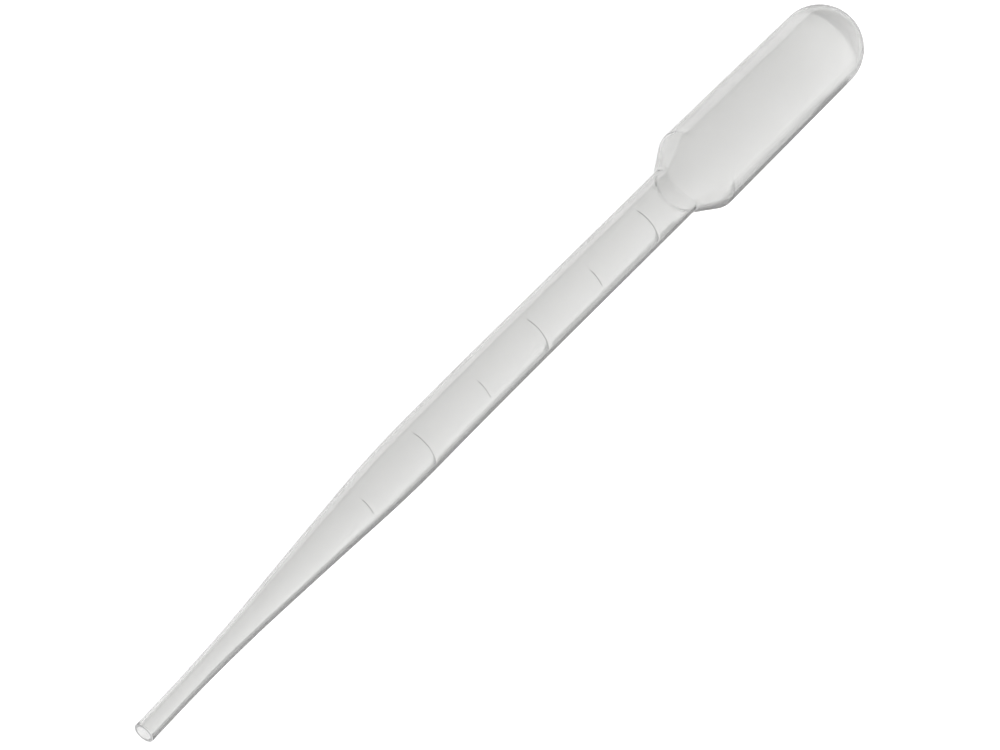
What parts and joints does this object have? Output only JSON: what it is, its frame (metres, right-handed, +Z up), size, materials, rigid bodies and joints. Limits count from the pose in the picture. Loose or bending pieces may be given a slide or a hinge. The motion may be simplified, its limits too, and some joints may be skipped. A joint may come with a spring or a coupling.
{
  "type": "dropper pipette",
  "caption": "Soft plastic dropper pipette, moulded in one piece: squeeze bulb, conical shoulder, straight stem with raised volume lines and slender open spout.",
  "frame": {"origin": "on the surface the pipette lies on, at the middle of its box", "axes": "+Z up; +X along the pipette from the spout to the bulb. The axis of the bulb and the upper stem is in the plane y = 0 and rises by 2.3 degrees towards the bulb as it lies. The spout leans 1.8 degrees from it, towards -Y. The volume lines face up, turned 15 degrees towards -Y"},
  "size_m": [0.1598, 0.0132, 0.0143],
  "materials": {
    "soft_polyethylene": "translucent, satin"
  },
  "bodies": {
    "root": {"pipette": "soft_polyethylene"}
  },
  "joints": []
}
